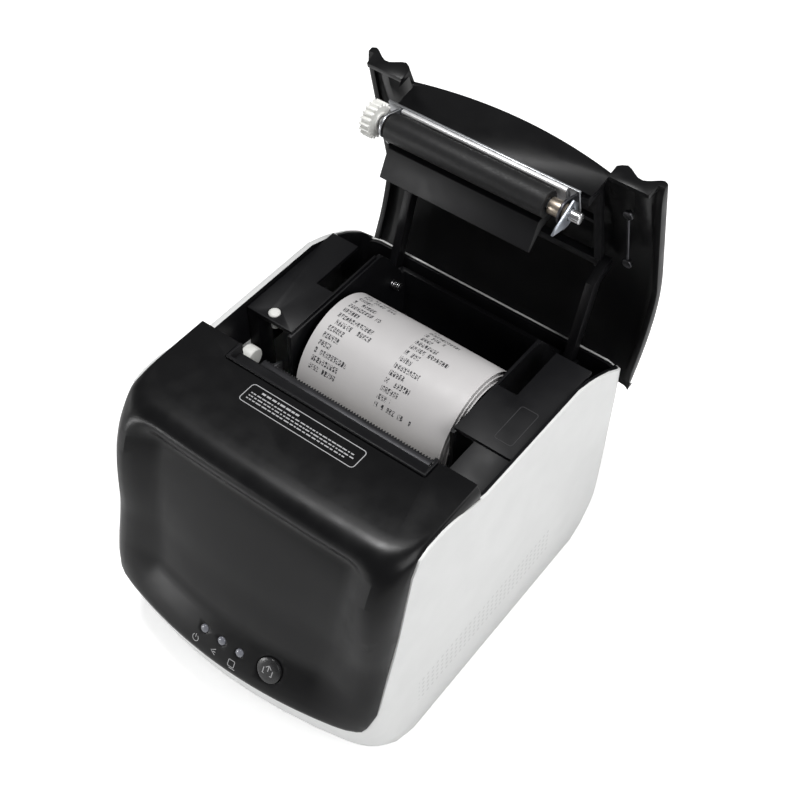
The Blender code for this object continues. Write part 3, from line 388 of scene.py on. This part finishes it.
COVER_TOP, DECK_TOP = 132.5, 120.5        # the two level surfaces that carry a print
NOTE_ROWS = (                             # the note's bars: start and end along X, Y, height
    (-27.0, -8.0, -43.9, 0.9),
    (-31.0, 22.5, -46.0, 0.55),
    (-31.0, 23.5, -47.6, 0.55),
    (-31.0, 20.0, -49.2, 0.55),
)


def prints():
    """Generic marks: a framed note as plain bars, a frame on the deck, the lamps' signs, the feed sign."""
    rng = random.Random(5)
    bands = [(rectangle_loop((-33.2, 25.6), (-51.6, -41.8), 1.6), 0.35, True)]
    for u, until, v, height in NOTE_ROWS:
        while u < until:
            length = rng.uniform(0.8, 2.6)
            bands.append(([(u, v), (u + length, v)], height, False))
            u += length + rng.uniform(0.35, 0.7)
    printed("cover_note_print", "case", bands, flat_place(COVER_TOP), INK)
    bands = [(rectangle_loop((55.0, 63.5), (3.0, 23.5), 1.2), 0.3, True)]
    printed("deck_frame_print", "case", bands, flat_place(DECK_TOP), DIM_INK)

    low = 3.9                             # the lamp signs' middle, up the ledge
    lines = ([(-16.0, low + 0.2), (-16.0, low + 2.0)],
             [(-4.4, low + 1.5), (-6.8, low), (-4.4, low - 1.5)],
             [(-5.6, low - 0.2), (-4.3, low)])
    bands = [(arc(-16.0, low, 1.6, 125, 415, 20), 0.3, False)]
    bands += [(line, 0.3, False) for line in lines]
    bands += [(rectangle_loop((2.9, 6.1), (low - 1.6, low + 1.6), 0.5), 0.3, True),
              ([(3.8, low - 2.3), (6.9, low - 2.3)], 0.3, False)]
    printed("lamp_signs_print", "case", bands, ledge_place("front_cover"), INK)

    u, v = 21.8, 10.9                     # the feed sign's middle
    lines = ([(u, v - 0.4), (u, v + 2.5)],
             [(u - 1.4, v + 1.2), (u, v + 2.6), (u + 1.4, v + 1.2)],
             [(u - 2.3, v + 0.9), (u - 2.3, v - 1.9), (u - 1.5, v - 1.9)],
             [(u + 2.3, v + 0.9), (u + 2.3, v - 1.9), (u + 1.5, v - 1.9)])
    bands = [(line, 0.4, False) for line in lines]
    printed("feed_sign_print", "button", bands, ledge_place("feed_button"), INK)


# ---- the printed slip ----
SLIP_MIDDLE = (21.2, 92.0)        # the coil's centre, seen from the side: Y, Z
SLIP_LEFT, SLIP_WIDTH = -43.0, 79.0
SLIP_INSET = 0.6                  # how far the printed sheet stays inside the slip's two sides
SLIP_TURNS, STEPS_PER_TURN, STEPS_ACROSS = 2.7, 120, 24
SLIP_START = 230                  # the outer end's angle in degrees, seen from the side
SLIP_DEPTH = 29.6                 # the coil's half size along Y
SLIP_UP, SLIP_DOWN = 30.0, 48.5   # its half sizes above and below its centre
LAYER_PITCH, LAYER_START, PAPER_THICK = 1.5, 0.3, 0.16
SLACK = 0.35                      # how far a layer bulges in or out at its middle
DRIFT, DRIFT_START = 1.1, 0.55    # the inner layers' shift along X per turn, and the turn it starts at
SLIP_UV = 0.01                    # the print's map holds millimetres times this
ARC_RADIUS = 29.8                 # turns the coil's angle into a length along the sheet
ROW_PITCH, MARK_PITCH = 3.9, 1.5  # the print's rows and marks
CELL_ACROSS, CELL_ALONG = 0.375, 0.43     # the cells that make up a mark
PRINT_START, PRINT_END = 66.5, 119.5      # along the sheet
COLUMNS = ((4.5, 11.0, 15.0, 11.0), (41.5, 45.0, 17.0, 13.0))     # start, least end, spread of ends, seed


def slip_look():
    """Thermal paper with rows of small marks that stand for print; they spell nothing."""
    look = Look("printed_slip_skin", IOR=1.45)
    paper = look.ramp(look.noise(18 * MM, 4.0), (0.60, 0.585, 0.585), (0.635, 0.62, 0.62))
    across, along, _ = look.axes(look.node("ShaderNodeUVMap", uv_map="slip").outputs["UV"])
    across, along = (look.math("MULTIPLY", value, 1 / SLIP_UV) for value in (across, along))

    def speckle(u, v, seed):
        """A random value for every whole pair of u and v."""
        join = look.node("ShaderNodeCombineXYZ")
        look.fill(join.inputs, (look.math("FLOOR", u), look.math("FLOOR", v), seed))
        noise = look.node("ShaderNodeTexWhiteNoise", noise_dimensions="3D")
        look.link(join.outputs[0], noise.inputs["Vector"])
        return noise.outputs["Value"]

    rows = look.math("DIVIDE", along, ROW_PITCH)
    marks = look.math("DIVIDE", across, MARK_PITCH)
    cells = speckle(look.math("DIVIDE", across, CELL_ACROSS), look.math("DIVIDE", along, CELL_ALONG), 3.0)
    glyph = look.product(look.math("GREATER_THAN", cells, 0.38),
                         look.between(look.math("FRACT", rows), 0.16, 0.82),
                         look.between(look.math("FRACT", marks), 0.1, 0.86))
    spoken = look.math("GREATER_THAN", speckle(marks, rows, 7.0), 0.1)
    columns = []
    for start, least, spread, seed in COLUMNS:
        end = look.math("ADD", look.product(speckle(0.5, rows, seed), spread), least)
        columns.append(look.between(across, start, end))
    ink = look.product(glyph, spoken, look.math("MAXIMUM", *columns),
                       look.between(along, PRINT_START, PRINT_END))
    look.colour(look.mixed(look.product(ink, 0.97), paper, (0.02, 0.02, 0.025)))
    look.roughness(look.ramp(look.noise(6 * MM, 4.0), 0.42, 0.52))
    look.bump(look.noise(0.12 * MM, 3.0), 0.003 * MM)
    return look.mat


def slip_point(k, f, inside):
    """Step k of the coil, at the share f of its width; inside is the depth into the paper."""
    turn = k / STEPS_PER_TURN
    a = math.radians(SLIP_START) - 2 * math.pi * turn
    tall = SLIP_UP if math.sin(a) > 0 else SLIP_DOWN
    slack = SLACK * math.sin(2.1 * turn * math.pi + 2.4 * f) * math.sin(math.pi * f)
    inner = LAYER_PITCH * turn + LAYER_START + slack * min(1.0, turn) + inside
    shift = DRIFT * max(0.0, turn - DRIFT_START)
    x = SLIP_LEFT + SLIP_INSET + (SLIP_WIDTH - 2 * SLIP_INSET) * f + shift
    return at(x, SLIP_MIDDLE[0] + (SLIP_DEPTH - inner) * math.cos(a),
              SLIP_MIDDLE[1] + (tall - inner) * math.sin(a))


def printed_slip():
    """The coiled sheet: thin paper whose layers are slack in places, the inner ones moved to the right."""
    steps = int(STEPS_PER_TURN * SLIP_TURNS)
    bm = bmesh.new()
    uv = bm.loops.layers.uv.new("slip")
    outer, inner = ([[bm.verts.new(slip_point(k, i / STEPS_ACROSS, inside))
                      for i in range(STEPS_ACROSS + 1)]
                     for k in range(steps + 1)] for inside in (0.0, PAPER_THICK))
    for k in range(steps):
        for i in range(STEPS_ACROSS):
            corners = [(k, i), (k, i + 1), (k + 1, i + 1), (k + 1, i)]
            for grid, order in ((outer, corners), (inner, corners[::-1])):
                face = bm.faces.new([grid[r][c] for r, c in order])
                for loop, (r, c) in zip(face.loops, order):
                    turned_by = math.radians(SLIP_START - 180 + 360 / STEPS_PER_TURN * r)
                    far = SLIP_UV * (turned_by * ARC_RADIUS) if grid is outer else -1.0
                    loop[uv].uv = (SLIP_UV * SLIP_WIDTH * c / STEPS_ACROSS, far)
    for k in range(steps):
        for i, way in ((0, 1), (STEPS_ACROSS, -1)):
            quad = [outer[k][i], outer[k + 1][i], inner[k + 1][i], inner[k][i]]
            bm.faces.new(quad[::way])
    for i in range(STEPS_ACROSS):
        for k, way in ((0, -1), (steps, 1)):
            quad = [outer[k][i], outer[k][i + 1], inner[k][i + 1], inner[k][i]]
            bm.faces.new(quad[::way])
    slip = show(mesh_object("paper_slip_printed", bm, 60), "case", "thermal_paper", slip_look())
    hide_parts("paper_slip")
    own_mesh(slip)


# ---- small fittings ----
SPRING_AT = (68.0, 95.0)          # the bucket's springs: Y, Z
SPRING_WALLS = (("bucket_spring_left", -46.6, 1), ("bucket_spring_right", 38.6, -1))  # name, X, way along X
SPRING_LENGTH, SPRING_RADIUS, SPRING_TURNS, SPRING_WIRE = 4.4, 2.0, 4.5, 0.32


def coil(bm, wall, way):
    """A coil spring that stands on a bucket wall."""
    count = 16                            # points per turn
    points = [(wall + way * SPRING_LENGTH * k / (SPRING_TURNS * count),
               SPRING_AT[0] + SPRING_RADIUS * math.cos(2 * math.pi * k / count),
               SPRING_AT[1] + SPRING_RADIUS * math.sin(2 * math.pi * k / count))
              for k in range(int(SPRING_TURNS * count) + 1)]
    wire(bm, points, SPRING_WIRE)


def fittings():
    """The stop at the tear strip's end, and the bucket's two springs on their stubs."""
    bm = bmesh.new()
    rounded_block(bm, (45.4, 47.3), (-27.4, -23.8), (123.3, 127.0), 0.4)
    show(mesh_object("tear_strip_stop", bm), "case", "black_inner_plastic")
    for name, wall, way in SPRING_WALLS:
        bm = bmesh.new()
        coil(bm, wall, way)
        show(mesh_object(name, bm, 60), "case", "bright_steel")
        bm = bmesh.new()
        low, high = sorted((wall - 0.4 * way, wall + 5.2 * way))
        turned(bm, [(low, 0.8), (low + 0.3, 1.2), (high - 0.4, 1.2), (high, 0.7)], SPRING_AT)
        show(mesh_object(name + "_stub", bm), "case", "black_inner_plastic")


# ---- the white shell ----
VENT_PITCH = 3.4 * MM
VENT_Y = (-66 * MM, 33 * MM)      # where the blind dots lie on the side panels, in the frame
VENT_Z = (20.4 * MM, 37.4 * MM)
VENT_X = 70.5 * MM                # the side panels lie outside this
CORNER_X, CORNER_Y = 63.5 * MM, 77.0 * MM   # the rear corners' centres, in the frame
RIM_INSIDE = 8.9 * MM             # the white rim's inner edge, measured from the corners' centres
RIM_EXTRA = 1.5 * MM              # the rim is this much wider on the left
RIM_EXTRA_END = 62 * MM           # the wider rim's end, along Y
WALL_INSIDE = 7.9 * MM            # just outside the shell's inner face
RIM_LOW = 86 * MM                 # above this the black reaches the rim's edge, below it only the wall
LINING_LOW = 61 * MM              # the black's lower edge


def vents(look):
    """A band of small blind dots low on the side panels, worked into the white plastic: dents in the bump,
    and painted shade that greys their hollows.
    """
    x, y, z = look.axes(look.place)
    squares = []
    for value in (y, z):
        cell = look.math("FRACT", look.math("DIVIDE", value, VENT_PITCH))
        off = look.math("SUBTRACT", cell, 0.5)
        squares.append(look.product(off, off))
    far = look.math("SQRT", look.math("ADD", *squares))
    dot = look.ramp(far, 1.0, 0.0, 0.2, 0.3)
    side = look.math("GREATER_THAN", look.math("ABSOLUTE", x), VENT_X)
    return look.product(dot, look.between(y, *VENT_Y), look.between(z, *VENT_Z), side)


def lining(look):
    """Black inside the upper part of the shell, up to a narrow white rim that is wider on the left."""
    x, y, z = look.axes(look.place)
    past_x = look.math("SUBTRACT", look.math("ABSOLUTE", x), CORNER_X)
    past_y = look.math("SUBTRACT", y, CORNER_Y)
    corner = [look.math("MAXIMUM", past, 0.0) for past in (past_x, past_y)]
    far = look.math("SQRT", look.math("ADD", *(look.product(c, c) for c in corner)))
    left = look.product(look.math("LESS_THAN", x, 0.0), look.math("LESS_THAN", y, RIM_EXTRA_END))
    far = look.math("ADD", far, look.product(left, RIM_EXTRA))
    upright = look.math("GREATER_THAN", z, RIM_LOW)
    limit = look.math("ADD", WALL_INSIDE, look.product(upright, RIM_INSIDE - WALL_INSIDE))
    return look.product(look.math("LESS_THAN", far, limit), look.math("GREATER_THAN", z, LINING_LOW))


def shell_look():
    """White moulded plastic with the panels' dots, whose hollows carry painted shade, and the black lining.
    """
    look = Look("white_shell_skin", IOR=1.5)
    dots = vents(look)
    plain = look.ramp(look.noise(14 * MM, 4.0), (0.76, 0.765, 0.76), (0.79, 0.795, 0.79))
    # painted shade: the dots' hollows are mixed towards grey in the colour
    painted_dot_shade = look.mixed(look.product(dots, 0.35), plain, (0.42, 0.42, 0.42))
    look.colour(look.mixed(lining(look), painted_dot_shade, (0.005, 0.005, 0.006)))
    look.roughness(look.ramp(look.noise(9 * MM, 5.0), 0.32, 0.42))
    look.bump(look.math("SUBTRACT", look.product(look.noise(0.45 * MM, 2.0), 0.1), dots), 0.06 * MM)
    return look.mat


# ---- every CAD node, and the pieces that only the looks have ----
for name, node in NODES.items():
    for material_slot in node.material_slots:
        material_slot.material = LOOKS[NODE_SLOT[name]]

CURVED = ("front_cover", "lid_cover", "outer_shell")      # finely curved, so only level faces are joined
BROAD_EDGE, FINE_EDGE = 0.35, 0.2                         # how wide an edge is rounded off
for name in CURVED:
    softened(name, BROAD_EDGE, flat=0.02, look=shell_look() if name == "outer_shell" else None)
OWN_LOOKS = {
    "fixed_knife": metal("polished_knife_skin", (0.97, 0.97, 0.98), 0.5, ALONG_X, 0.08),
    "latch_rod": metal("dull_rod_skin", (0.09, 0.09, 0.10), 0.35),
    "rod_screw_front": metal("dull_screw_skin", (0.16, 0.16, 0.17), 0.3),
    "rod_screw_rear": metal("rear_screw_skin", (0.16, 0.16, 0.17), 0.3),
    # painted shade: the right platen plate is drawn far darker than sheet steel, for the shade it sits in
    "platen_plate_right": metal("painted_shade_plate_skin", (0.10, 0.10, 0.11), 0.4),
    "latch_hook": metal("hook_skin", (0.42, 0.45, 0.50), 0.4),
}
for name in NODES:
    if name not in CURVED and name != "paper_slip":
        softened(name, BROAD_EDGE if name == "platen_gear" else FINE_EDGE, look=OWN_LOOKS.get(name))
prints()
printed_slip()
fittings()


# ---- room, light and camera ----
CAMERA_AT = (239.48, -303.13, 560.79)     # in the body's millimetres
FLOOR_GLOW = 0.45                         # brightens the floor without lighting the printer


def camera():
    """Seen from above the front right corner."""
    azimuth, elevation, roll = (math.radians(v) for v in (37.18, 49.6, 0.24))
    back = Vector((math.sin(azimuth) * math.cos(elevation), -math.cos(azimuth) * math.cos(elevation),
                   math.sin(elevation)))
    right = Vector((math.cos(azimuth), math.sin(azimuth), 0.0))
    up = back.cross(right)
    sideways = right * math.cos(roll) + up * math.sin(roll)
    upright = up * math.cos(roll) - right * math.sin(roll)
    data = bpy.data.cameras.new("camera")
    data.lens = 62.85
    data.sensor_width = 36.0
    data.clip_start = 0.01
    data.clip_end = 20.0
    obj = bpy.data.objects.new("camera", data)
    bpy.context.scene.collection.objects.link(obj)
    obj.matrix_world = Matrix((sideways, upright, back)).transposed().to_4x4()
    obj.location = at(*CAMERA_AT)
    bpy.context.scene.camera = obj


def area_light(name, place, aim, size, power):
    """A soft light at place that points at aim; both in metres."""
    data = bpy.data.lights.new(name, "AREA")
    data.shape = "RECTANGLE"
    data.size, data.size_y = size
    data.energy = power
    obj = bpy.data.objects.new(name, data)
    obj.location = place
    obj.rotation_euler = (Vector(aim) - Vector(place)).to_track_quat("-Z", "Y").to_euler()
    bpy.context.scene.collection.objects.link(obj)


def room():
    """A plain pale floor under soft studio light."""
    mesh = bpy.data.meshes.new("floor")
    bm = bmesh.new()
    bmesh.ops.create_grid(bm, x_segments=1, y_segments=1, size=3.0)
    bm.to_mesh(mesh)
    bm.free()
    floor = bpy.data.objects.new("floor", mesh)
    bpy.context.scene.collection.objects.link(floor)
    look = Look("floor_paint", Roughness=0.9)
    look.colour(look.ramp(look.noise(0.5), (0.93, 0.93, 0.93), (0.96, 0.96, 0.96)))
    look.shader.inputs["Emission Color"].default_value = (1.0, 1.0, 1.0, 1.0)
    seen = look.node("ShaderNodeLightPath").outputs["Is Camera Ray"]
    look.link(look.product(seen, FLOOR_GLOW), look.shader.inputs["Emission Strength"])
    mesh.materials.append(look.mat)
    world = bpy.data.worlds.new("studio")
    world.use_nodes = True
    background = world.node_tree.nodes["Background"]
    background.inputs["Color"].default_value = (1.0, 1.0, 1.0, 1.0)
    background.inputs["Strength"].default_value = 0.16
    bpy.context.scene.world = world
    bpy.context.scene.view_settings.view_transform = "Standard"
    area_light("key", (1.0, -0.3, 0.95), (0.0, 0.0, 0.1), (0.7, 0.7), 7.5)
    area_light("back", (0.55, 0.85, 0.95), (0.0, 0.0, 0.1), (0.6, 0.5), 5.0)
    area_light("shoulder", (-0.2, -0.02, 1.05), (0.05, -0.075, 0.13), (0.22, 0.17), 5.5)
    area_light("left", (-1.1, -0.35, 0.12), (0.0, -0.05, 0.06), (0.5, 0.35), 1.2)
    area_light("low", (-0.66, -0.85, 0.14), (-0.06, -0.1, 0.05), (0.2, 0.2), 2.4)


camera()
room()
